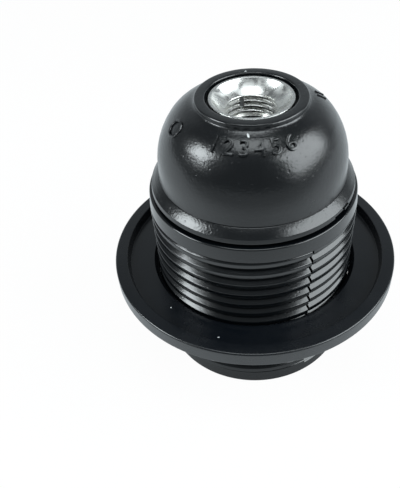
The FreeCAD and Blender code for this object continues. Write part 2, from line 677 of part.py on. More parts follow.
def build_earth_tag():
    """Ring on the bush's tail, under the boss, with a lug for the earth screw."""
    body = new_body("earth_tag")
    under = "%s - tag_thick" % TAG_FOOT
    round_feature(body, "tag_ring", ("0", "0"), "entry_radius + tag_ring_width",
                  "tag_thick", level=TAG_FOOT)
    extrude(body, "tag_lug", rectangle("-%s - tag_end" % EARTH, "-entry_radius",
                                       "-tag_width / 2", "tag_width / 2"),
            "tag_thick", level=TAG_FOOT)
    round_feature(body, "tag_hole", ("0", "0"), "entry_radius + entry_play",
                  "tag_thick * 3", level=under, cut=True, back=True)
    round_feature(body, "tag_screw_hole", ("-%s" % EARTH, "0"), "screw_radius",
                  "tag_thick * 3", level=under, cut=True, back=True)
    return body


def build_earth_screw():
    """Slotted screw up through the tag's lug."""
    body = new_body("earth_screw")
    place = "-%s" % EARTH
    round_feature(body, "earth_shank", (place, "0"), "screw_radius",
                  "tag_thick", level=TAG_FOOT)
    round_feature(body, "earth_head", (place, "0"), "screw_head_radius",
                  "screw_head_height", level=TAG_FOOT, back=True)
    driver_slot(body, place, "%s - screw_head_height" % TAG_FOOT, True)
    return body


def driver_slot(body, place, level, back):
    """Cuts a screwdriver's slot into a head that faces up, or down if back is set."""
    extrude(body, "driver_slot_" + body.Label, rectangle(
        "%s - screw_head_radius * 1.2" % place, "%s + screw_head_radius * 1.2" % place,
        "-driver_slot / 2", "driver_slot / 2"),
        "screw_head_height / 2", level=level, cut=True, back=back)


def build_latch():
    """Leaf in the skirt's slot, behind the notch, that snaps over the lock teeth."""
    body = new_body("latch")
    inner = "%s + latch_play" % CAP_SOCKET
    leaf = extrude(body, "latch_leaf", rectangle(
        inner, "%s + latch_thick" % inner, "-latch_length / 2", "latch_length / 2"),
        "skirt_slot - latch_play", level="%s + latch_play" % CAP_FOOT)
    turn_flat(leaf, "notch_bearing")
    return body


# ---------------------------------------------------------------- contact block
def build_contact_block():
    """Round base with a boss below and two towers above that hold the terminals."""
    body = new_body("contact_block")
    round_feature(body, "base", ("0", "0"), BLOCK_RADIUS, "block_base", level=BLOCK_FOOT)
    round_feature(body, "boss", ("0", "0"), "%s - block_clearance" % SHELF_RADIUS,
                  "block_boss", level=BLOCK_FOOT, back=True)
    near = "(key_width / 2 + key_clearance)"
    radius = "(%s - block_clearance)" % BLOCK_RADIUS
    reach = "sqrt(%s ^ 2 - %s ^ 2)" % (radius, near)
    for side, sign in (("right", ""), ("left", "-")):
        front, rear = (sign + near, "-" + reach), (sign + near, reach)
        outline = [rear + (radius, 1), front] if side == "right" else [front, rear + (radius, -1)]
        extrude(body, "tower_" + side, outline, "tower_height", level=BLOCK_BASE_TOP)
        middle = sign + TERMINAL
        half = "(terminal_thick / 2 + terminal_play)"
        extrude(body, "pocket_" + side, rectangle(
            "%s - %s" % (middle, half), "%s + %s" % (middle, half),
            "-terminal_width / 2 - terminal_play", "terminal_width / 2 + terminal_play"),
            "tower_height * 1.2", level=BLOCK_BASE_TOP, cut=True, back=True)
        round_feature(body, "wire_way_" + side, (middle, WIRE_LEVEL),
                      "wire_radius + block_clearance", "2 * %s" % BLOCK_RADIUS,
                      role="XZ_Plane", level="-%s" % BLOCK_RADIUS, cut=True, back=True)
        round_feature(body, "rivet_hole_" + side, (middle, "0"), "rivet_radius",
                      "(block_base + block_boss) * 1.2", level=STRIP_FOOT,
                      cut=True, back=True)
    return body


def build_terminal(side, sign):
    """Pillar terminal: a wire hole across, a clamping screw from above."""
    body = new_body("terminal_" + side)
    middle = sign + TERMINAL
    extrude(body, "pillar", rectangle(
        "%s - terminal_thick / 2" % middle, "%s + terminal_thick / 2" % middle,
        "-terminal_width / 2", "terminal_width / 2"),
        "terminal_height", level=BLOCK_BASE_TOP)
    round_feature(body, "wire_hole", (middle, WIRE_LEVEL), "wire_radius",
                  "terminal_width * 2", role="XZ_Plane", level="-terminal_width",
                  cut=True, back=True)
    round_feature(body, "screw_hole", (middle, "0"), "screw_radius",
                  "terminal_height", level=WIRE_LEVEL, cut=True, back=True)
    round_feature(body, "rivet_hole", (middle, "0"), "rivet_radius", "rivet_grip",
                  level=BLOCK_BASE_TOP, cut=True, back=True)
    return body


def build_terminal_screw(side, sign):
    """Slotted screw that clamps the wire in its terminal."""
    body = new_body("terminal_screw_" + side)
    middle = sign + TERMINAL
    tip = "(%s + screw_tip)" % WIRE_LEVEL
    round_feature(body, "shank", (middle, "0"), "screw_radius",
                  "%s - %s" % (TERMINAL_TOP, tip), level=tip)
    round_feature(body, "head", (middle, "0"), "screw_head_radius", "screw_head_height",
                  level=TERMINAL_TOP)
    driver_slot(body, middle, "%s + screw_head_height" % TERMINAL_TOP, False)
    return body


def build_rivet(name, sign):
    """Rivet that ties a contact strip under the block to the terminal above it."""
    body = new_body(name)
    middle = sign + TERMINAL
    round_feature(body, "shank", (middle, "0"), "rivet_radius",
                  "block_base + block_boss + strip_thick + rivet_grip", level=STRIP_FOOT)
    round_feature(body, "head", (middle, "0"), "rivet_head_radius", "rivet_head_height",
                  level=STRIP_FOOT, back=True)
    return body


def flat_strip(body, left, right, hole):
    """A strip against the block's underside, with a hole for its rivet."""
    extrude(body, "strip", rectangle(left, right, "-strip_width / 2", "strip_width / 2"),
            "strip_thick", level=STRIP_FOOT)
    round_feature(body, "strip_hole", (hole, "0"), "rivet_radius", "strip_thick * 3",
                  level="%s - strip_thick" % STRIP_FOOT, cut=True, back=True)


def build_centre_contact():
    """The fixed foot of the centre contact."""
    body = new_body("centre_contact")
    flat_strip(body, "-%s - strip_end" % TERMINAL, "-tongue_root", "-%s" % TERMINAL)
    return body


def build_centre_tongue():
    """The sprung end of the centre contact, which meets the lamp's tip."""
    body = new_body("centre_tongue")
    curve = "((strip_thick - hinge_gap) / 2)"
    middle = "(hinge_gap + %s - tongue_root)" % curve
    flat = "%s - centre_drop" % UNDERSIDE
    extrude(body, "tongue", [
        (middle, "%s - hinge_gap" % UNDERSIDE),
        ("%s - %s" % (middle, curve), "%s - hinge_gap - %s" % (UNDERSIDE, curve), curve, 1),
        (middle, "%s - strip_thick" % UNDERSIDE, curve, 1),
        ("-tongue_flat", flat),
        ("tongue_flat", flat),
        ("tongue_flat + 1.2", "%s + 0.6" % flat),
        ("tongue_flat + 0.9", "%s + strip_thick + 0.5" % flat),
        ("tongue_flat - 0.2", "%s + strip_thick" % flat),
        ("-tongue_flat + 0.25", "%s + strip_thick" % flat),
    ], "strip_width", role="XZ_Plane", level="-strip_width / 2")
    return body


def build_side_contact():
    """Strip that leads down beside the lamp and meets the shell of its cap."""
    body = new_body("side_contact")
    bend = "(%s + side_bend)" % TERMINAL
    flat_strip(body, "%s - strip_end" % TERMINAL, bend, TERMINAL)
    knee = "%s - strip_thick * 1.8" % UNDERSIDE
    tip = "(%s - side_drop)" % UNDERSIDE
    extrude(body, "side_tongue", [
        ("%s - strip_thick" % bend, UNDERSIDE),
        ("%s - strip_thick" % bend, knee),
        ("%s - strip_thick - 0.2" % SIDE_REACH, "%s + 1.6" % tip),
        ("%s - strip_thick - 0.8" % SIDE_REACH, "%s + 0.2" % tip),
        ("%s - 0.8" % SIDE_REACH, tip),
        ("%s - 0.2" % SIDE_REACH, "%s + 1.6" % tip),
        (bend, knee),
        (bend, UNDERSIDE),
    ], "strip_width * 0.8", role="XZ_Plane", level="-strip_width * 0.4")
    return body


# ---------------------------------------------------------------- assembly
def build_all():
    """Builds every sub-part and returns the bodies."""
    bodies = [
        build_barrel(),
        build_shade_ring(),
        build_cap(),
        build_entry_bush(),
        build_lock_screw(),
        build_earth_tag(),
        build_earth_screw(),
        build_latch(),
        build_contact_block(),
        build_rivet("rivet_centre", "-"),
        build_rivet("rivet_side", ""),
        build_centre_contact(),
        build_centre_tongue(),
        build_side_contact(),
    ]
    for side, sign in (("left", "-"), ("right", "")):
        bodies.append(build_terminal(side, sign))
        bodies.append(build_terminal_screw(side, sign))
    return bodies


def check(bodies):
    """Stops if any feature failed or any sub-part isn't one valid solid."""
    doc.recompute()
    failed = [o.Label for o in doc.Objects if {"Invalid", "Error"} & set(o.State)]
    for body in bodies:
        shape = body.Shape
        if shape.isNull() or not shape.isValid() or len(shape.Solids) != 1:
            failed.append(body.Label)
    if failed:
        raise RuntimeError("failed: " + ", ".join(failed))


parts = build_all()
check(parts)
os.makedirs("parts", exist_ok=True)
for part in parts:
    part.Shape.exportStep("parts/%s.step" % part.Label)
    print("%-22s %9.1f mm3" % (part.Label, part.Shape.Volume))
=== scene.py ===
"""Dresses the lamp holder: smooth turned walls, real threads, finishes, light and camera.

Sizes are millimetres in the row frame: z is 0 on the mouth rim and the front faces -Y.
"""

import logging
import math
from dataclasses import dataclass, field
from enum import Enum
from typing import Optional, Sequence

import bpy
from mathutils import Matrix, Vector


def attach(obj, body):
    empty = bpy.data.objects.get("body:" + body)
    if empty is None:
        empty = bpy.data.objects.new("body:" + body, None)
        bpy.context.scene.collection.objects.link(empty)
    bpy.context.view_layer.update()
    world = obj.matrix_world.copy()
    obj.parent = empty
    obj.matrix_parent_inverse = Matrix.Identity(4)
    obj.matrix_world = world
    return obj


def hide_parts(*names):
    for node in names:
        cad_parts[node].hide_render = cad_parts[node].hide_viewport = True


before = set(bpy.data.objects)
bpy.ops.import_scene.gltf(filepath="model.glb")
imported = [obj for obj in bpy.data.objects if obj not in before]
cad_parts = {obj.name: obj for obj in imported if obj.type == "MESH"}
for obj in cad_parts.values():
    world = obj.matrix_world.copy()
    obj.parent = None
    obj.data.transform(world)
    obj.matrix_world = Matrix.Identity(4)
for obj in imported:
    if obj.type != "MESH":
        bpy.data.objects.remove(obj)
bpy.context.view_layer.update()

log = logging.getLogger("lamp_holder")

MM = 0.001
FULL_TURN = 2.0 * math.pi
TURN_STEPS = 160
MERGE = 0.0005
ARC_STEP = math.radians(6.0)
SMOOTH_ANGLE = math.radians(32.0)

Point = tuple[float, float]


class Side(Enum):
    """Which side of a mould parting plane is kept."""

    RIGHT = 1.0
    LEFT = -1.0


class Join(Enum):
    """How a tool changes a piece."""

    ADD = "UNION"
    CUT = "DIFFERENCE"


# ---------------------------------------------------------------- outlines
@dataclass
class Outline:
    """A half section in the (radius, height) plane, in millimetres, with rounded corners."""

    corners: list[tuple[float, float, float]] = field(default_factory=list)

    def to(self, radius: float, height: float, rounding: float = 0.0) -> "Outline":
        """Adds a corner and the radius that rounds it."""
        self.corners.append((radius, height, rounding))
        return self

    def arc(self, middle: Point, size: float, start: float, end: float) -> "Outline":
        """Adds the points of an arc.

        Args:
            middle: Centre of the arc.
            size: Radius of the arc.
            start: Angle of its first point in degrees, 0 pointing outwards.
            end: Angle of its last point in degrees.
        """
        count = max(2, math.ceil(abs(math.radians(end - start)) / ARC_STEP) + 1)
        for index in range(count):
            turn = math.radians(start + (end - start) * index / (count - 1))
            self.to(middle[0] + size * math.cos(turn), middle[1] + size * math.sin(turn))
        return self

    def points(self, closed: bool = True) -> list[Point]:
        """Works out the outline's points.

        Args:
            closed: True if the last corner joins the first.

        Returns:
            The points in order, with each rounded corner as a short arc.
        """
        made: list[Point] = []
        count = len(self.corners)
        for index, (radius, height, rounding) in enumerate(self.corners):
            at_end = index in (0, count - 1) and not closed
            if rounding <= 0.0 or at_end:
                made.append((radius, height))
                continue
            here = Vector((radius, height))
            before = Vector(self.corners[index - 1][:2]) - here
            after = Vector(self.corners[(index + 1) % count][:2]) - here
            made.extend(self.rounded(here, before, after, rounding))
        return made

    @staticmethod
    def rounded(here: Vector, before: Vector, after: Vector, size: float) -> list[Point]:
        """Rounds one corner.

        Args:
            here: The sharp corner.
            before: Way to the corner before it.
            after: Way to the corner after it.
            size: Radius of the rounding.

        Returns:
            The points of the rounding, from the side before to the side after.
        """
        half = before.angle(after) / 2.0
        reach = min(size / math.tan(half), 0.45 * before.length, 0.45 * after.length)
        size = reach * math.tan(half)
        first = here + before.normalized() * reach
        last = here + after.normalized() * reach
        away = (before.normalized() + after.normalized()).normalized()
        middle = here + away * (size / math.sin(half))
        sweep = math.pi - 2.0 * half
        count = max(2, math.ceil(sweep / math.radians(22.0)) + 1)
        start, end = first - middle, last - middle
        made = []
        for index in range(count):
            share = index / (count - 1)
            arm = start * math.sin((1.0 - share) * sweep) + end * math.sin(share * sweep)
            spot = middle + arm / math.sin(sweep)
            made.append((spot.x, spot.y))
        return made


# ---------------------------------------------------------------- bench tools
def deselect() -> None:
    """Leaves object mode with nothing selected."""
    if bpy.context.object and bpy.context.object.mode != "OBJECT":
        bpy.ops.object.mode_set(mode="OBJECT")
    bpy.ops.object.select_all(action="DESELECT")


def pick(piece: bpy.types.Object) -> bpy.types.Object:
    """Makes a piece the only selected one, and the active one."""
    deselect()
    piece.select_set(True)
    bpy.context.view_layer.objects.active = piece
    return piece


def edit(piece: bpy.types.Object) -> None:
    """Enters edit mode on a piece with all of it selected."""
    pick(piece)
    bpy.ops.object.mode_set(mode="EDIT")
    bpy.ops.mesh.select_mode(type="VERT")
    bpy.ops.mesh.select_all(action="SELECT")


def leave() -> None:
    """Goes back to object mode."""
    bpy.ops.object.mode_set(mode="OBJECT")


def apply(piece: bpy.types.Object, modifier: bpy.types.Modifier) -> None:
    """Applies one modifier of a piece."""
    pick(piece)
    bpy.ops.object.modifier_apply(modifier=modifier.name)


def wire(name: str, points: Sequence[Point]) -> bpy.types.Object:
    """Draws a chain of edges in the XZ plane by extruding one vertex along it."""
    deselect()
    bpy.ops.mesh.primitive_plane_add(size=MM, location=(0.0, 0.0, 0.0))
    piece = bpy.context.object
    piece.name = name
    edit(piece)
    bpy.ops.mesh.merge(type="CENTER")
    spots = [Vector((radius, 0.0, height)) * MM for radius, height in points]
    bpy.ops.transform.translate(value=spots[0])
    for start, end in zip(spots, spots[1:]):
        bpy.ops.mesh.extrude_region_move(TRANSFORM_OT_translate={"value": end - start})
    leave()
    return piece


def close_up(piece: bpy.types.Object) -> bpy.types.Object:
    """Merges what meets and points every face outwards."""
    edit(piece)
    bpy.ops.mesh.remove_doubles(threshold=MERGE * MM)
    bpy.ops.mesh.select_all(action="SELECT")
    bpy.ops.mesh.normals_make_consistent(inside=False)
    leave()
    return piece


def turned(name: str, outline: Outline) -> bpy.types.Object:
    """Turns a closed outline into a solid ring, as on a lathe."""
    points = outline.points()
    piece = wire(name, points + points[:1])
    edit(piece)
    bpy.ops.mesh.remove_doubles(threshold=MERGE * MM)
    bpy.ops.mesh.select_all(action="SELECT")
    bpy.ops.mesh.spin(steps=TURN_STEPS, angle=FULL_TURN, center=(0.0, 0.0, 0.0),
                      axis=(0.0, 0.0, 1.0))
    leave()
    return close_up(piece)


def turned_solid(name: str, outline: Outline) -> bpy.types.Object:
    """Turns an open outline that starts and ends on the axis into a solid."""
    piece = wire(name, outline.points(closed=False))
    edit(piece)
    bpy.ops.mesh.spin(steps=TURN_STEPS, angle=FULL_TURN, center=(0.0, 0.0, 0.0),
                      axis=(0.0, 0.0, 1.0))
    leave()
    return close_up(piece)


def slice_off(piece: bpy.types.Object, spot: Vector, away: Vector) -> None:
    """Cuts off all that lies beyond a plane, and closes the cut."""
    edit(piece)
    bpy.ops.mesh.bisect(plane_co=spot, plane_no=away, use_fill=True, clear_outer=True,
                        threshold=MERGE * MM / 10.0)
    leave()


def change(piece: bpy.types.Object, tool: bpy.types.Object, join: Join) -> bpy.types.Object:
    """Adds a tool to a piece or cuts it away, and removes the tool."""
    modifier = piece.modifiers.new("tool", "BOOLEAN")
    modifier.operation = join.value
    modifier.solver = "EXACT"
    modifier.object = tool
    apply(piece, modifier)
    bpy.data.objects.remove(tool, do_unlink=True)
    return piece


def merged(name: str, pieces: Sequence[bpy.types.Object]) -> bpy.types.Object:
    """Joins pieces that don't touch into one object."""
    pick(pieces[0])
    for piece in pieces:
        piece.select_set(True)
    bpy.ops.object.join()
    made = bpy.context.object
    made.name = name
    return made


def block(name: str, size: Vector, centre: Vector, turn: float = 0.0) -> bpy.types.Object:
    """Makes a box in millimetres whose place and turn about Z are in its mesh."""
    deselect()
    bpy.ops.mesh.primitive_cube_add(size=1.0, location=(0.0, 0.0, 0.0))
    piece = bpy.context.object
    piece.name = name
    piece.scale = size * MM
    piece.location = Matrix.Rotation(turn, 3, "Z") @ centre * MM
    piece.rotation_euler = (0.0, 0.0, turn)
    pick(piece)
    bpy.ops.object.transform_apply(location=True, rotation=True, scale=True)
    return piece


def drill(name: str, radius: float, near: float, far: float, level: float,
          bearing: float) -> bpy.types.Object:
    """Makes a level rod that points away from the axis, in millimetres."""
    deselect()
    bpy.ops.mesh.primitive_cylinder_add(vertices=48, radius=radius * MM,
                                        depth=(far - near) * MM)
    piece = bpy.context.object
    piece.name = name
    middle = (near + far) / 2.0
    turn = Matrix.Rotation(bearing, 4, "Z")
    tilt = Matrix.Rotation(math.pi / 2.0, 4, "Y")
    piece.matrix_world = turn @ Matrix.Translation(Vector((middle, 0.0, level)) * MM) @ tilt
    pick(piece)
    bpy.ops.object.transform_apply(location=True, rotation=True, scale=True)
    return piece


def smooth(piece: bpy.types.Object) -> bpy.types.Object:
    """Shades a finished piece smooth, with its real edges kept crisp."""
    pick(piece)
    bpy.ops.object.shade_smooth_by_angle(angle=SMOOTH_ANGLE)
    modifier = piece.modifiers.new("weighting", "WEIGHTED_NORMAL")
    modifier.keep_sharp = True
    modifier.weight = 60
    apply(piece, modifier)
    return piece


@dataclass(frozen=True)
class Thread:
    """A right-handed thread, in millimetres."""

    valley: float
    crest: float
    pitch: float
    foot_width: float
    crest_width: float
    level: float
    rounding: float

    def section(self, start: float) -> list[Point]:
        """Gives one pitch of the thread's wall, from the middle of a valley."""
        half_foot, half_crest = self.foot_width / 2.0, self.crest_width / 2.0
        ridge = start + self.pitch / 2.0
        outline = Outline()
        outline.to(self.valley, start)
        outline.to(self.valley, ridge - half_foot, self.rounding)
        outline.to(self.crest, ridge - half_crest, self.rounding)
        outline.to(self.crest, ridge + half_crest, self.rounding)
        outline.to(self.valley, ridge + half_foot, self.rounding)
        outline.to(self.valley, start + self.pitch)
        return outline.points(closed=False)

    def rod(self, name: str, low: float, high: float) -> bpy.types.Object:
        """Makes a solid rod with this thread.

        Args:
            name: Name of the rod.
            low: Level of its lower end.
            high: Level of its upper end.

        Returns:
            The rod, closed at both ends.
        """
        below = math.floor((low - self.level) / self.pitch) - 2
        start = self.level + (below - 0.5) * self.pitch
        turns = math.ceil((high - start) / self.pitch) + 2
        piece = wire(name, self.section(start))
        modifier = piece.modifiers.new("turns", "SCREW")
        modifier.axis = "Z"
        modifier.angle = FULL_TURN
        modifier.screw_offset = self.pitch * MM
        modifier.iterations = turns
        modifier.steps = TURN_STEPS
        modifier.render_steps = TURN_STEPS
        modifier.use_merge_vertices = False
        apply(piece, modifier)
        close_up(piece)
        slice_off(piece, Vector((0.0, 0.0, low)) * MM, Vector((0.0, 0.0, -1.0)))
        slice_off(piece, Vector((0.0, 0.0, high)) * MM, Vector((0.0, 0.0, 1.0)))
        return close_up(piece)


# ---------------------------------------------------------------- finishes
def linear(code: str) -> tuple[float, float, float, float]:
    """Turns an sRGB hex colour into linear values with an alpha of 1."""
    channels = [int(code[at:at + 2], 16) / 255.0 for at in (1, 3, 5)]
    values = [c / 12.92 if c <= 0.04045 else ((c + 0.055) / 1.055) ** 2.4 for c in channels]
    return (values[0], values[1], values[2], 1.0)


def add_node(tree: bpy.types.NodeTree, kind: str, settings: Optional[dict] = None,
             links: Optional[dict] = None) -> bpy.types.Node:
    """Adds a node to a tree.

    Args:
        tree: The tree it goes into.
        kind: The node's type.
        settings: Values by attribute name, or by input name or number.
        links: Output sockets by the input name or number that they feed.

    Returns:
        The node.
    """
    made = tree.nodes.new(kind)
    for key, value in (settings or {}).items():
        if isinstance(key, str) and hasattr(made, key):
            setattr(made, key, value)
        else:
            made.inputs[key].default_value = value
    for key, socket in (links or {}).items():
        tree.links.new(socket, made.inputs[key])
    return made


@dataclass(frozen=True)
class Finish:
    """A finish on the shader's own sockets."""

    name: str
    colour: str
    roughness: float
    metallic: float = 0.0
    ior: float = 1.5

    def start(self) -> tuple[bpy.types.Material, bpy.types.NodeTree, bpy.types.Node]:
        """Makes the material with a bare shader.

        Returns:
            The material, its tree and its shader.
        """
        material = bpy.data.materials.new(self.name)
        material.use_nodes = True
        tree = material.node_tree
        tree.nodes.clear()
        shader = add_node(tree, "ShaderNodeBsdfPrincipled", {
            "Base Color": linear(self.colour), "Roughness": self.roughness,
            "Metallic": self.metallic, "IOR": self.ior})
        add_node(tree, "ShaderNodeOutputMaterial", {}, {"Surface": shader.outputs[0]})
        return material, tree, shader

    def material(self) -> bpy.types.Material:
        """Makes the material."""
        return self.start()[0]

    def dress(self, *pieces: bpy.types.Object) -> None:
        """Puts the finish on every face of some pieces."""
        material = bpy.data.materials.get(self.name) or self.material()
        for piece in pieces:
            piece.data.materials.clear()
            piece.data.materials.append(material)


@dataclass(frozen=True)
class Nick:
    """A pale chip in a gloss skin, as an ellipsoid in millimetres."""

    spot: tuple[float, float, float]
    reach: tuple[float, float, float]
    turn: float = 0.0

    def mask(self, tree: bpy.types.NodeTree, place: bpy.types.NodeSocket) -> bpy.types.Node:
        """Adds the nodes that give 1 inside the chip and 0 outside.

        Args:
            tree: The finish's tree.
            place: Object coordinates.

        Returns:
            The node whose first output is the mask.
        """
        local = add_node(tree, "ShaderNodeMapping", {
            "vector_type": "TEXTURE", "Location": Vector(self.spot) * MM,
            "Rotation": (0.0, math.radians(self.turn), 0.0),
            "Scale": Vector(self.reach) * MM}, {"Vector": place})
        reach = add_node(tree, "ShaderNodeVectorMath", {"operation": "LENGTH"},
                         {0: local.outputs[0]})
        return add_node(tree, "ShaderNodeMapRange", {
            "From Min": 0.7, "From Max": 1.0, "To Min": 1.0, "To Max": 0.0},
            {"Value": reach.outputs["Value"]})


@dataclass(frozen=True)
class MouldedPhenolic(Finish):
    """Black phenolic resin, compression moulded: deep gloss with a faint orange peel."""

    peel_mm: float = 0.45
    peel_depth_mm: float = 0.02
    pit_mm: float = 1.1
    pit_depth_mm: float = 0.03
    scuff: float = 0.0
    nicks: tuple[Nick, ...] = ()
    filler: str = "#cfd2d2"

    def wear(self, tree: bpy.types.NodeTree, shader: bpy.types.Node,
             place: bpy.types.NodeSocket) -> None:
        """Shows the pale filler of the resin where the skin is chipped."""
        chipped = self.nicks[0].mask(tree, place).outputs[0]
        for nick in self.nicks[1:]:
            both = add_node(tree, "ShaderNodeMath", {"operation": "MAXIMUM"}, {
                0: chipped, 1: nick.mask(tree, place).outputs[0]})
            chipped = both.outputs[0]
        colour = add_node(tree, "ShaderNodeMixRGB", {
            "Color1": linear(self.colour), "Color2": linear(self.filler)}, {"Fac": chipped})
        tree.links.new(colour.outputs[0], shader.inputs["Base Color"])

    def material(self) -> bpy.types.Material:
        """Makes the peel and pits as bump, and the scuffs as uneven gloss."""
        material, tree, shader = self.start()
        place = add_node(tree, "ShaderNodeTexCoord").outputs["Object"]
        if self.nicks:
            self.wear(tree, shader, place)
        # the peel waves the soft boxes' edges in the dome
        peel = add_node(tree, "ShaderNodeTexNoise", {
            "Scale": 1.0 / (self.peel_mm * MM), "Detail": 2.0, "Roughness": 0.5},
            {"Vector": place})
        bumped = add_node(tree, "ShaderNodeBump", {
            "Strength": 0.5, "Distance": self.peel_depth_mm * MM},
            {"Height": peel.outputs["Fac"]})
        # small sink pits speckle the highlights
        cells = add_node(tree, "ShaderNodeTexVoronoi", {
            "Scale": 1.0 / (self.pit_mm * MM), "Randomness": 1.0}, {"Vector": place})
        pits = add_node(tree, "ShaderNodeMapRange", {
            "From Min": 0.08, "From Max": 0.2, "To Min": 0.0, "To Max": 1.0,
            "interpolation_type": "SMOOTHSTEP"}, {"Value": cells.outputs["Distance"]})
        pitted = add_node(tree, "ShaderNodeBump", {
            "Strength": 0.7, "Distance": self.pit_depth_mm * MM},
            {"Height": pits.outputs["Result"], "Normal": bumped.outputs["Normal"]})
        tree.links.new(pitted.outputs["Normal"], shader.inputs["Normal"])
        # handling leaves duller patches about a centimetre wide
        patch = add_node(tree, "ShaderNodeTexNoise", {
            "Scale": 1.0 / (9.0 * MM), "Detail": 5.0, "Roughness": 0.62}, {"Vector": place})
        gloss = add_node(tree, "ShaderNodeMapRange", {
            "From Min": 0.35, "From Max": 0.7, "To Min": self.roughness,
            "To Max": self.roughness + self.scuff}, {"Value": patch.outputs["Fac"]})
        tree.links.new(gloss.outputs["Result"], shader.inputs["Roughness"])
        return material


@dataclass(frozen=True)
class MachinedAlloy(Finish):
    """Turned light alloy: bright, with the fine rings that the tool left."""

    ring_mm: float = 0.22

    def material(self) -> bpy.types.Material:
        """Makes the tool's rings as bump and grey streaks as uneven gloss."""
        material, tree, shader = self.start()
        place = add_node(tree, "ShaderNodeTexCoord").outputs["Object"]
        # rings follow the radius, coarser than real ones so that they show
        rings = add_node(tree, "ShaderNodeTexWave", {
            "wave_type": "RINGS", "rings_direction": "Z", "Distortion": 0.6,
            "Detail": 1.0, "Scale": 1.0 / (20.0 * self.ring_mm * MM)}, {"Vector": place})
        bumped = add_node(tree, "ShaderNodeBump", {
            "Strength": 0.35, "Distance": 0.02 * MM}, {"Height": rings.outputs["Fac"]})
        tree.links.new(bumped.outputs["Normal"], shader.inputs["Normal"])
        smear = add_node(tree, "ShaderNodeTexNoise", {
            "Scale": 1.0 / (1.6 * MM), "Detail": 3.0, "Distortion": 0.8}, {"Vector": place})
        gloss = add_node(tree, "ShaderNodeMapRange", {
            "From Min": 0.3, "From Max": 0.7, "To Min": self.roughness,
            "To Max": self.roughness + 0.25}, {"Value": smear.outputs["Fac"]})
        tree.links.new(gloss.outputs["Result"], shader.inputs["Roughness"])
        return material


@dataclass(frozen=True)
class RolledMetal(Finish):
    """Stamped or rolled metal: a soft sheen with cloudy patches."""

    cloud_mm: float = 1.5

    def material(self) -> bpy.types.Material:
        """Makes the cloudy patches as uneven gloss."""
        material, tree, shader = self.start()
        place = add_node(tree, "ShaderNodeTexCoord").outputs["Object"]
        cloud = add_node(tree, "ShaderNodeTexNoise", {
            "Scale": 1.0 / (self.cloud_mm * MM), "Detail": 4.0}, {"Vector": place})
        gloss = add_node(tree, "ShaderNodeMapRange", {
            "From Min": 0.3, "From Max": 0.7, "To Min": self.roughness,
            "To Max": self.roughness + 0.2}, {"Value": cloud.outputs["Fac"]})
        tree.links.new(gloss.outputs["Result"], shader.inputs["Roughness"])
        return material


# gloss phenolic gives near black faces with clear reflections
CAP_BLACK = MouldedPhenolic(
    "gloss_black_phenolic", "#06090c", 0.2, ior=1.65, peel_depth_mm=0.06, pit_depth_mm=0.025, scuff=0.08,
    nicks=(Nick((-0.4, -10.6, 54.0), (0.2, 0.6, 0.8), -40.0),
           Nick((-1.0, 8.5, 55.6), (0.22, 0.22, 0.2))))
# the barrel's thread came from the same mould shop
BARREL_BLACK = MouldedPhenolic("threaded_black_phenolic", "#06090c", 0.13, ior=1.65,
                               peel_depth_mm=0.01, pit_depth_mm=0.01, scuff=0.08)
# the ring is handled most, so it is the dullest of the three
RING_BLACK = MouldedPhenolic(
    "satin_black_phenolic", "#080c11", 0.2, ior=1.65, peel_depth_mm=0.006,
    pit_depth_mm=0.01, scuff=0.12,
    nicks=(Nick((28.5, 5.6, 21.4), (0.4, 0.5, 0.3)),
           Nick((-6.6, -23.4, 19.75), (0.25, 0.1, 0.2)),
           Nick((-16.0, -16.2, 19.75), (0.16, 0.16, 0.2))))
# matt brown black phenolic of the inner block
BLOCK_BROWN = MouldedPhenolic("matt_brown_phenolic", "#2a1f18", 0.45, ior=1.55, scuff=0.1)
# bright turned alloy of the entry
ENTRY_ALLOY = MachinedAlloy("turned_light_alloy", "#e3e3e0", 0.16, metallic=1.0)
# yellow brass strip
CONTACT_BRASS = RolledMetal("rolled_brass", "#c9a35a", 0.28, metallic=1.0)
# zinc plated steel of screws and latch
SCREW_STEEL = RolledMetal("zinc_plated_steel", "#b9bbbd", 0.3, metallic=1.0)


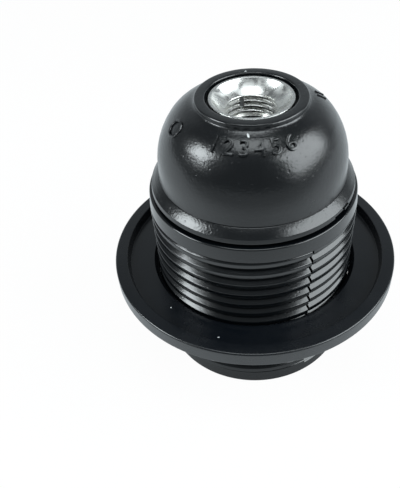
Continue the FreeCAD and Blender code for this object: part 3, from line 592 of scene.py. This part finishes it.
# ---------------------------------------------------------------- barrel
@dataclass
class Barrel:
    """The barrel: two walls under one collar, outer and neck threads, E27 socket thread."""

    radius: float = 19.9
    height: float = 37.9
    valley: float = 18.95
    rim_radius: float = 19.6
    rim_height: float = 3.0
    collar_foot: float = 34.9
    collar_draft: float = 0.28
    neck_valley: float = 14.7
    neck_crest: float = 15.5
    neck_top: float = 46.5
    neck_bore: float = 13.1
    pitch: float = 2.5
    seam_bearing: float = -59.0
    seam_gap: float = 0.3
    seam_shift: float = 0.42
    socket_bore: float = 12.25
    socket_valley: float = 13.35
    socket_pitch: float = 3.629
    sleeve_radius: float = 15.2
    slot_radius: float = 17.1
    slot_top: float = 33.0
    shelf_low: float = 28.0
    shelf_high: float = 30.0
    shelf_radius: float = 10.9
    room_foot: float = 20.0
    sleeve_foot: float = 2.0
    teeth: int = 20

    def core(self) -> bpy.types.Object:
        """Turns the solid core, which lies inside the threads and stands out at the collar."""
        inside = self.valley - 0.06
        neck = self.neck_valley - 0.06
        outline = Outline()
        outline.to(0.0, 0.0)
        outline.to(self.rim_radius, 0.0, 0.35)
        outline.to(self.rim_radius, self.rim_height, 0.25)
        outline.to(inside, self.rim_height + 0.6)
        outline.to(inside, self.collar_foot - 0.15, 0.1)
        outline.to(self.radius, self.collar_foot, 0.3)
        outline.to(self.radius - self.collar_draft, self.height, 0.3)
        outline.to(neck, self.height, 0.3)
        outline.to(neck, self.neck_top, 0.4)
        outline.to(0.0, self.neck_top)
        return turned_solid("holder_barrel", outline)

    def outer_halves(self) -> list[bpy.types.Object]:
        """Makes the outer thread as the two halves of its mould left it, a little apart."""
        halves = []
        across = Matrix.Rotation(math.radians(self.seam_bearing), 3, "Z") @ Vector((0, 1, 0))
        for side in Side:
            shift = self.seam_shift / 2.0 * side.value
            thread = Thread(self.valley, self.radius, self.pitch, 2.2, 0.95,
                            5.0 + shift, 0.32)
            rod = thread.rod("outer_half", self.rim_height - 0.2, self.collar_foot + 0.3)
            spot = across * (side.value * self.seam_gap / 2.0 * MM)
            slice_off(rod, spot, across * -side.value)
            halves.append(close_up(rod))
        return halves

    def teeth_ring(self) -> bpy.types.Object:
        """Makes the lock teeth that stand on the collar, round the neck."""
        near, far = self.neck_crest + 0.1, 17.0
        pieces = []
        for index in range(self.teeth):
            turn = FULL_TURN * index / self.teeth
            pieces.append(block("tooth", Vector((far - near, 0.7, 0.6)),
                                Vector(((near + far) / 2.0, 0.0, self.height)), turn))
        return merged("lock_teeth", pieces)

    def cavity(self) -> bpy.types.Object:
        """Turns the space inside: slot between the walls, socket, shelf hole, neck bore."""
        bevel = 0.8
        outline = Outline()
        outline.to(0.0, -1.0)
        outline.to(self.slot_radius, -1.0)
        outline.to(self.slot_radius, self.slot_top, 0.4)
        outline.to(self.sleeve_radius, self.slot_top, 0.4)
        outline.to(self.sleeve_radius, self.sleeve_foot, 0.2)
        outline.to(self.socket_bore + bevel, self.sleeve_foot, 0.2)
        outline.to(self.socket_bore, self.sleeve_foot + bevel, 0.2)
        outline.to(self.socket_bore, self.room_foot)
        outline.to(self.socket_valley, self.room_foot)
        outline.to(self.socket_valley, self.shelf_low, 0.3)
        outline.to(self.shelf_radius, self.shelf_low, 0.2)
        outline.to(self.shelf_radius, self.shelf_high, 0.2)
        outline.to(self.neck_bore, self.shelf_high, 0.2)
        outline.to(self.neck_bore, self.neck_top + 1.0)
        outline.to(0.0, self.neck_top + 1.0)
        return turned_solid("cavity", outline)

    def build(self) -> bpy.types.Object:
        """Builds the barrel and puts it on its body."""
        piece = self.core()
        neck = Thread(self.neck_valley, self.neck_crest, self.pitch, 1.7, 0.7,
                      self.height + 1.5, 0.15)
        threads = self.outer_halves()
        threads.append(neck.rod("neck_thread", self.height + 0.9, self.neck_top - 0.5))
        change(piece, merged("male_threads", threads), Join.ADD)
        change(piece, self.teeth_ring(), Join.ADD)
        change(piece, self.cavity(), Join.CUT)
        socket = Thread(self.socket_bore - 0.05, self.socket_valley, self.socket_pitch, 3.3,
                        1.0, 4.5 + self.socket_pitch / 2.0, 0.7)
        change(piece, socket.rod("socket_thread", self.sleeve_foot + 1.0, self.room_foot + 0.5),
               Join.CUT)
        smooth(close_up(piece))
        BARREL_BLACK.dress(piece)
        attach(piece, "holder")
        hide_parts("barrel")
        return piece


# ---------------------------------------------------------------- shade ring
@dataclass
class ShadeRing:
    """The flanged ring: raised rim, sunk floor, hub below, thread in its bore."""

    radius: float = 28.75
    top: float = 21.5
    edge_foot: float = 18.3
    rim_inner: float = 26.3
    step: float = 0.5
    floor: float = 19.75
    lead: float = 0.85
    underside: float = 18.4
    hub_radius: float = 22.6
    hub_foot: float = 13.3
    bore: float = 20.05
    valley: float = 20.95

    def build(self) -> bpy.types.Object:
        """Builds the ring and puts it on its body."""
        outline = Outline()
        outline.to(self.bore + self.lead, self.floor, 0.15)
        outline.to(self.bore, self.floor - self.lead, 0.1)
        outline.to(self.bore, self.hub_foot, 0.2)
        outline.to(self.hub_radius, self.hub_foot, 0.5)
        outline.to(self.hub_radius, self.underside, 0.4)
        outline.to(self.rim_inner, self.underside, 0.2)
        outline.to(self.rim_inner + 0.2, self.edge_foot, 0.2)
        outline.to(self.radius, self.edge_foot, 0.5)
        outline.to(self.radius, self.top, 0.35)
        outline.to(self.rim_inner, self.top, 0.15)
        outline.to(self.rim_inner - self.step, self.floor, 0.12)
        piece = turned("holder_shade_ring", outline)
        thread = Thread(self.bore - 0.03, self.valley, 2.5, 1.9, 1.1, 13.9, 0.12)
        change(piece, thread.rod("ring_thread", self.hub_foot - 0.5, self.floor - 0.9),
               Join.CUT)
        smooth(close_up(piece))
        RING_BLACK.dress(piece)
        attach(piece, "ring")
        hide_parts("shade_ring")
        return piece


# ---------------------------------------------------------------- cap
@dataclass
class Cap:
    """The domed cap: skirt, shoulder, dome, top collar, boss, inner thread and keys."""

    foot: float = 38.4
    skirt: float = 19.15
    skirt_head: float = 18.95
    skirt_bore: float = 17.8
    socket: float = 17.0
    slot_top: float = 39.5
    skirt_top: float = 39.45
    dome: float = 17.35
    dome_level: float = 43.2
    dome_foot: float = 40.8
    side_curve: float = 14.0
    side_middle: float = 3.35
    turn: float = 35.5
    top_curve: float = 8.0
    top_middle: Point = (8.234, 46.684)
    wall: float = 2.0
    collar: float = 9.9
    top: float = 55.6
    recess: float = 8.0
    recess_floor: float = 53.6
    hole: float = 6.62
    boss: float = 9.0
    boss_foot: float = 49.91
    thread_valley: float = 15.7
    thread_top: float = 46.7
    notch_bearing: float = -35.0
    notch_width: float = 5.0
    notch_height: float = 0.6
    rib_pitch: float = 0.44
    lock_bearing: float = 112.0
    lock_level: float = 51.41
    key_width: float = 6.6
    key_near: float = 10.6
    key_far: float = 12.2
    key_foot: float = 37.0

    def shell(self) -> bpy.types.Object:
        """Turns the shell from one outline, outer wall first."""
        lip = self.top_middle[1] + math.sqrt(
            self.top_curve ** 2 - (self.collar + 0.4 - self.top_middle[0]) ** 2)
        flare = math.degrees(math.acos(
            (self.collar + 0.4 - self.top_middle[0]) / self.top_curve))
        side_in, top_in = self.side_curve - self.wall, self.top_curve - self.wall
        boss_turn = math.degrees(math.acos((self.boss - self.top_middle[0]) / top_in))
        room_turn = math.degrees(math.asin((self.thread_top - self.dome_level) / side_in))
        outline = Outline()
        outline.to(self.skirt_bore, self.foot, 0.15)
        outline.to(self.skirt, self.foot, 0.3)
        outline.to(self.skirt_head, self.skirt_top, 0.12)
        outline.to(self.skirt_head - 0.75, self.skirt_top + 0.78, 0.9)
        outline.to(self.dome + 0.2, self.dome_foot)
        outline.to(self.dome + 0.02, self.dome_foot + 0.05)
        outline.to(self.dome + 0.1, self.dome_foot + 0.25, 0.08)
        outline.arc((self.side_middle, self.dome_level), self.side_curve, 0.0, self.turn)
        outline.arc(self.top_middle, self.top_curve, self.turn + 4.0, flare)
        outline.to(self.collar, lip + 0.35, 0.2)
        outline.to(self.collar, self.top, 0.35)
        outline.to(self.recess, self.top, 0.3)
        outline.to(self.recess, self.recess_floor, 0.1)
        outline.to(self.hole, self.recess_floor)
        outline.to(self.hole, self.boss_foot)
        outline.to(self.boss, self.boss_foot, 0.3)
        outline.arc(self.top_middle, top_in, boss_turn, self.turn + 4.0)
        outline.arc((self.side_middle, self.dome_level), side_in, self.turn, room_turn)
        outline.to(self.thread_valley - 0.6, self.thread_top)
        outline.to(self.thread_valley - 0.6, self.foot)
        outline.to(self.socket, self.foot, 0.1)
        outline.to(self.socket, self.slot_top)
        outline.to(self.skirt_bore, self.slot_top)
        return turned("holder_cap", outline)

    def keys(self) -> bpy.types.Object:
        """Makes the two keys that turn the contact block."""
        deep = self.key_far - self.key_near
        middle = (self.key_far + self.key_near) / 2.0
        reach = 51.2 - self.key_foot
        size = Vector((self.key_width, deep, reach))
        level = self.key_foot + reach / 2.0
        return merged("keys", [block("key", size, Vector((0.0, y, level)))
                               for y in (-middle, middle)])

    def build(self) -> bpy.types.Object:
        """Builds the cap and puts it on its body."""
        piece = self.shell()
        thread = Thread(self.thread_valley - 0.72, self.thread_valley, 2.5, 2.1, 0.9,
                        39.4, 0.12)
        change(piece, thread.rod("cap_thread", self.foot - 0.6, self.thread_top - 1.0),
               Join.CUT)
        change(piece, self.keys(), Join.ADD)
        turn = math.radians(self.notch_bearing)
        notch = block("notch", Vector((1.7, self.notch_width, self.notch_height * 2.0)),
                      Vector((self.skirt - 0.1, 0.0, self.foot)), turn)
        change(piece, notch, Join.CUT)
        ribs = []
        for index in range(4):
            bearing = turn + (0.4 + self.rib_pitch * index) / self.skirt
            ribs.append(block("rib", Vector((0.5, 0.2, 0.5)),
                              Vector((self.skirt - 0.13, 0.0, self.foot + 0.8)), bearing))
        hole = drill("lock_hole", 1.25, 5.0, 11.6, self.lock_level,
                     math.radians(self.lock_bearing))
        change(piece, hole, Join.CUT)
        smooth(close_up(piece))
        marks = smooth(merged("cap_grip_ribs", ribs))
        CAP_BLACK.dress(piece, marks)
        for made in (piece, marks):
            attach(made, "cap")
        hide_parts("cap_dome")
        return piece


@dataclass
class Numerals:
    """Plain raised numerals that follow the dome, as a mould leaves them."""

    words: str = "123456"
    size: float = 4.0
    height: float = 0.4
    swell: float = 0.07
    sunk: float = -0.02
    first_bearing: float = -118.0
    spacing: float = 11.2
    elevation: float = 54.0

    def place(self, cap: Cap, bearing: float, rise: float) -> Matrix:
        """Finds the dome's tangent frame at a bearing and an angle up its top curve."""
        turn, tilt = math.radians(bearing), math.radians(rise)
        radius = cap.top_middle[0] + (cap.top_curve - self.sunk) * math.cos(tilt)
        level = cap.top_middle[1] + (cap.top_curve - self.sunk) * math.sin(tilt)
        spot = Vector((radius * math.cos(turn), radius * math.sin(turn), level)) * MM
        normal = Vector((math.cos(turn) * math.cos(tilt), math.sin(turn) * math.cos(tilt),
                         math.sin(tilt)))
        along = Vector((-math.sin(turn), math.cos(turn), 0.0))
        upward = normal.cross(along)
        return Matrix.Translation(spot) @ Matrix((along, upward, normal)).transposed().to_4x4()

    def settle(self, piece: bpy.types.Object, spot: Matrix) -> bpy.types.Object:
        """Moves a mark to its place on the dome, and puts the place in its mesh."""
        piece.matrix_world = spot
        pick(piece)
        bpy.ops.object.transform_apply(location=True, rotation=True, scale=True)
        return piece

    def plain_ring(self, cap: Cap) -> bpy.types.Object:
        """Makes the plain raised ring to the left of the numerals."""
        deselect()
        bpy.ops.mesh.primitive_torus_add(major_radius=1.45 * MM, minor_radius=0.2 * MM,
                                         major_segments=48, minor_segments=10)
        return self.settle(bpy.context.object, self.place(cap, -158.0, 46.0))

    def bars(self, cap: Cap) -> list[bpy.types.Object]:
        """Makes the two short raised bars to the right of the numerals."""
        made = []
        for bearing in (12.0, 18.0):
            piece = block("bar", Vector((0.4, 1.8, 0.26)), Vector((0.0, 0.0, 0.0)))
            made.append(self.settle(piece, self.place(cap, bearing, 58.0)))
        return made

    def build(self, cap: Cap) -> bpy.types.Object:
        """Builds the numerals and marks, and puts them on the cap's body."""
        made = []
        for index, word in enumerate(self.words):
            deselect()
            bpy.ops.object.text_add(location=(0.0, 0.0, 0.0))
            piece = bpy.context.object
            text = piece.data
            text.body = word
            text.size = self.size * MM
            text.align_x, text.align_y = "CENTER", "CENTER"
            text.extrude = self.height / 2.0 * MM
            text.offset = -self.swell / 3.0 * MM
            text.bevel_depth = self.swell * MM
            text.bevel_resolution = 1
            pick(piece)
            bpy.ops.object.convert(target="MESH")
            piece = bpy.context.object
            bearing = self.first_bearing + self.spacing * index
            made.append(self.settle(piece, self.place(cap, bearing, self.elevation)))
        made.append(self.plain_ring(cap))
        made.extend(self.bars(cap))
        piece = merged("cap_numerals", made)
        smooth(close_up(piece))
        CAP_BLACK.dress(piece)
        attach(piece, "cap")
        return piece


# ---------------------------------------------------------------- entry
@dataclass
class EntryBush:
    """The metal entry: flange, funnel and the M10 x 1 thread for a lamp tube."""

    flange: float = 7.45
    top: float = 55.25
    seat: float = 53.6
    body: float = 6.6
    foot: float = 48.61
    mouth: float = 6.95
    bore: float = 4.5
    bore_top: float = 53.25
    lip: float = 3.9
    lip_height: float = 0.7
    pitch: float = 1.0
    thread_depth: float = 0.42
    lock_bearing: float = 112.0
    lock_level: float = 51.41

    def build(self) -> bpy.types.Object:
        """Builds the bush and puts it on the cap's body."""
        outline = Outline()
        outline.to(self.lip, self.foot, 0.1)
        outline.to(self.body, self.foot, 0.2)
        outline.to(self.body, self.seat)
        outline.to(self.flange, self.seat, 0.1)
        outline.to(self.flange, self.top, 0.12)
        outline.to(self.mouth, self.top, 0.12)
        outline.arc((2.0, 58.4), 5.865, -34.0, -63.0)
        outline.to(self.bore, self.bore_top - 0.2, 0.15)
        outline.to(self.bore, self.foot + self.lip_height)
        outline.to(self.lip, self.foot + self.lip_height, 0.05)
        piece = turned("holder_entry_bush", outline)
        thread = Thread(self.bore - 0.05, self.bore + self.thread_depth, self.pitch, 0.8,
                        0.25, self.foot + 1.5, 0.06)
        change(piece, thread.rod("entry_thread", self.foot + self.lip_height + 0.3,
                                 self.bore_top - 0.1), Join.CUT)
        bearing = math.radians(self.lock_bearing)
        change(piece, drill("lock_way", 1.25, 5.05, 7.2, self.lock_level, bearing), Join.CUT)
        slit = block("slit", Vector((1.4, 0.8, 2.3)),
                     Vector((5.0, 0.0, self.lock_level + 0.35)), bearing)
        change(piece, slit, Join.CUT)
        smooth(close_up(piece))
        ENTRY_ALLOY.dress(piece)
        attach(piece, "cap")
        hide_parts("entry_bush")
        return piece


# ---------------------------------------------------------------- inner pieces
@dataclass
class InnerPieces:
    """The pieces that keep their CAD shape and get a finish by their material slot."""

    block_nodes: tuple[str, ...] = ("contact_block",)
    brass_nodes: tuple[str, ...] = (
        "earth_tag", "rivet_centre", "rivet_side", "centre_contact", "centre_tongue",
        "side_contact", "terminal_left", "terminal_right")
    steel_nodes: tuple[str, ...] = (
        "entry_lock_screw", "earth_screw", "latch", "terminal_screw_left",
        "terminal_screw_right")

    def dress(self) -> None:
        """Dresses each node in place."""
        for finish, names in ((BLOCK_BROWN, self.block_nodes),
                              (CONTACT_BRASS, self.brass_nodes),
                              (SCREW_STEEL, self.steel_nodes)):
            finish.dress(*(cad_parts[name] for name in names))
            log.info("%s on %s", finish.name, ", ".join(names))


# ---------------------------------------------------------------- studio
@dataclass
class SoftBox:
    """A soft area light, aimed at the holder."""

    name: str
    place: Vector
    width: float
    height: float
    power: float
    tint: str = "#f4fcff"

    def build(self, target: Vector) -> None:
        """Adds the light."""
        light = bpy.data.lights.new(self.name, "AREA")
        light.shape = "RECTANGLE"
        light.size, light.size_y = self.width * MM, self.height * MM
        light.energy = self.power
        light.color = linear(self.tint)[:3]
        lamp = bpy.data.objects.new(self.name, light)
        bpy.context.scene.collection.objects.link(lamp)
        lamp.location = self.place * MM
        lamp.rotation_mode = "QUATERNION"
        lamp.rotation_quaternion = ((target - self.place)).to_track_quat("-Z", "Y")


@dataclass
class Studio:
    """A white floor and surround, three soft boxes and the camera."""

    floor_size: float = 3000.0
    floor_gap: float = 0.02
    # front_glow, dim_front, foot_shade and foot_glow set the painted shade on the floor as the holder
    # sees it in gloss
    front_glow: float = 0.45
    floor_glow: float = 1.0
    sweep_glow: float = 0.83
    cool: str = "#f0faff"
    room_glow: float = 0.17
    glow_share: float = 0.96
    dim_front: Point = (-0.12, -0.04)
    foot_shade: Point = (0.018, 0.042)
    foot_glow: float = 0.3
    lens: float = 42.57
    sensor: float = 36.0
    lens_shift: Point = (-0.0615, 0.0041)
    eye_place: Vector = field(default_factory=lambda: Vector((0.0, -88.658, 103.655)))
    pitch: float = 43.097
    yaw: float = -3.2
    roll: float = 2.96
    target: Vector = field(default_factory=lambda: Vector((0.0, 0.0, 35.0)))

    def build_floor(self) -> None:
        """Lays the floor: white, and it keeps the holder's soft shadow; in gloss it also shows painted
        shade in front and at the holder's foot.
        """
        deselect()
        bpy.ops.mesh.primitive_plane_add(size=self.floor_size * MM,
                                         location=(0.0, 0.0, -self.floor_gap * MM))
        floor = bpy.context.object
        floor.name = "studio_floor"
        material = bpy.data.materials.new("white_sweep")
        material.use_nodes = True
        tree = material.node_tree
        tree.nodes.clear()
        paper = add_node(tree, "ShaderNodeBsdfDiffuse", {"Color": linear("#f2f2f2")})
        ray = add_node(tree, "ShaderNodeLightPath")
        # in gloss the floor is dimmed in front by painted shade, and white beside and behind the holder
        place = add_node(tree, "ShaderNodeTexCoord").outputs["Object"]
        parts = add_node(tree, "ShaderNodeSeparateXYZ", {}, {0: place})
        near = add_node(tree, "ShaderNodeMapRange", {
            "From Min": self.dim_front[0], "From Max": self.dim_front[1],
            "To Min": self.front_glow, "To Max": self.floor_glow}, {"Value": parts.outputs["Y"]})
        # and painted shade darkens its gloss close to the holder's foot, standing in for the contact
        # shadow
        away = add_node(tree, "ShaderNodeVectorMath", {"operation": "LENGTH"}, {0: place})
        shade = add_node(tree, "ShaderNodeMapRange", {
            "From Min": self.foot_shade[0], "From Max": self.foot_shade[1],
            "To Min": self.foot_glow, "To Max": 1.0},
            {"Value": away.outputs["Value"]})
        bright = add_node(tree, "ShaderNodeMath", {"operation": "MULTIPLY"}, {
            0: near.outputs["Result"], 1: shade.outputs["Result"]})
        mirrored = add_node(tree, "ShaderNodeEmission", {"Color": linear(self.cool)},
                            {"Strength": bright.outputs[0]})
        white = add_node(tree, "ShaderNodeEmission", {"Color": (1.0, 1.0, 1.0, 1.0),
                                                      "Strength": 1.0})
        glow = add_node(tree, "ShaderNodeMixShader", {}, {
            0: ray.outputs["Is Glossy Ray"], 1: white.outputs[0], 2: mirrored.outputs[0]})
        bounced = add_node(tree, "ShaderNodeMath", {"operation": "MAXIMUM"}, {
            0: ray.outputs["Is Glossy Ray"], 1: ray.outputs["Is Transmission Ray"]})
        seen = add_node(tree, "ShaderNodeMath", {"operation": "MAXIMUM"}, {
            0: ray.outputs["Is Camera Ray"], 1: bounced.outputs[0]})
        share = add_node(tree, "ShaderNodeMath",
                         {"operation": "MULTIPLY", 1: self.glow_share},
                         {0: seen.outputs[0]})
        mixed = add_node(tree, "ShaderNodeMixShader", {}, {
            0: share.outputs[0], 1: paper.outputs[0], 2: glow.outputs[0]})
        # the floor has no underside, so the mouth can be seen from below
        under = add_node(tree, "ShaderNodeNewGeometry").outputs["Backfacing"]
        clear = add_node(tree, "ShaderNodeBsdfTransparent")
        sided = add_node(tree, "ShaderNodeMixShader", {}, {
            0: under, 1: mixed.outputs[0], 2: clear.outputs[0]})
        add_node(tree, "ShaderNodeOutputMaterial", {}, {"Surface": sided.outputs[0]})
        floor.data.materials.append(material)

    def build_world(self) -> None:
        """Makes the surround: a white sweep behind, the dark room in front and above."""
        world = bpy.data.worlds.new("studio")
        bpy.context.scene.world = world
        world.use_nodes = True
        tree = world.node_tree
        tree.nodes.clear()
        way = add_node(tree, "ShaderNodeTexCoord").outputs["Generated"]
        parts = add_node(tree, "ShaderNodeSeparateXYZ", {}, {0: way})
        low = add_node(tree, "ShaderNodeMapRange", {
            "From Min": 0.58, "From Max": 0.78, "To Min": 0.28, "To Max": 0.0,
            "interpolation_type": "SMOOTHSTEP"}, {"Value": parts.outputs["Z"]})
        level = add_node(tree, "ShaderNodeMapRange", {
            "From Min": 0.0, "From Max": 0.42, "To Min": 0.72, "To Max": 0.0},
            {"Value": parts.outputs["Z"]})
        height = add_node(tree, "ShaderNodeMath", {"operation": "ADD"}, {
            0: low.outputs["Result"], 1: level.outputs["Result"]})
        behind = add_node(tree, "ShaderNodeMapRange", {
            "From Min": 0.4, "From Max": 0.75, "To Min": 0.0, "To Max": self.sweep_glow,
            "interpolation_type": "SMOOTHSTEP"}, {"Value": parts.outputs["Y"]})
        sweep = add_node(tree, "ShaderNodeMath", {"operation": "MULTIPLY"}, {
            0: height.outputs[0], 1: behind.outputs["Result"]})
        dusk = add_node(tree, "ShaderNodeMath", {"operation": "ADD", 1: self.room_glow},
                        {0: sweep.outputs[0]})
        around = add_node(tree, "ShaderNodeBackground", {"Color": linear(self.cool)},
                          {"Strength": dusk.outputs[0]})
        white = add_node(tree, "ShaderNodeBackground", {"Color": (1.0, 1.0, 1.0, 1.0),
                                                        "Strength": 1.0})
        ray = add_node(tree, "ShaderNodeLightPath")
        through = add_node(tree, "ShaderNodeMath", {"operation": "MAXIMUM"}, {
            0: ray.outputs["Is Camera Ray"], 1: ray.outputs["Is Transmission Ray"]})
        mixed = add_node(tree, "ShaderNodeMixShader", {}, {
            0: through.outputs[0], 1: around.outputs[0], 2: white.outputs[0]})
        add_node(tree, "ShaderNodeOutputWorld", {}, {"Surface": mixed.outputs[0]})

    def build_lights(self) -> None:
        """Hangs a small soft box on the left, a large one on the right and one above."""
        for box in (
                SoftBox("left_box", Vector((-325.0, -94.0, 247.0)), 170.0, 170.0, 1.0),
                SoftBox("right_box", Vector((328.0, -88.0, 247.0)), 400.0, 300.0, 1.95),
                SoftBox("top_box", Vector((0.0, -40.0, 450.0)), 250.0, 200.0, 0.5)):
            box.build(self.target)

    def build_camera(self) -> None:
        """Stands the camera in front and looks down on the holder."""
        camera = bpy.data.cameras.new("camera")
        camera.lens = self.lens
        camera.sensor_width = self.sensor
        camera.shift_x, camera.shift_y = self.lens_shift
        camera.clip_start, camera.clip_end = 0.01, 10.0
        eye = bpy.data.objects.new("camera", camera)
        bpy.context.scene.collection.objects.link(eye)
        pitch, yaw, roll = (math.radians(turn) for turn in (self.pitch, self.yaw, self.roll))
        ahead = Vector((math.sin(yaw) * math.cos(pitch), math.cos(yaw) * math.cos(pitch),
                        -math.sin(pitch)))
        level = ahead.cross(Vector((0.0, 0.0, 1.0))).normalized()
        upward = level.cross(ahead)
        right = level * math.cos(roll) - upward * math.sin(roll)
        upright = level * math.sin(roll) + upward * math.cos(roll)
        eye.matrix_world = (Matrix.Translation(self.eye_place * MM)
                            @ Matrix((right, upright, -ahead)).transposed().to_4x4())
        bpy.context.scene.camera = eye

    def build(self) -> None:
        """Builds the whole studio."""
        self.build_floor()
        self.build_world()
        self.build_lights()
        self.build_camera()
        bpy.context.scene.view_settings.view_transform = "Standard"


def main() -> None:
    """Builds the holder's pieces in order and reports each one."""
    logging.basicConfig(level=logging.INFO, format="%(message)s")
    cap = Cap()
    made = [Barrel().build(), ShadeRing().build(), cap.build(), Numerals().build(cap),
            EntryBush().build()]
    for piece in made:
        piece.data.calc_loop_triangles()
        log.info("%s: %d triangles", piece.name, len(piece.data.loop_triangles))
    InnerPieces().dress()
    Studio().build()


if __name__ == "__main__":
    main()
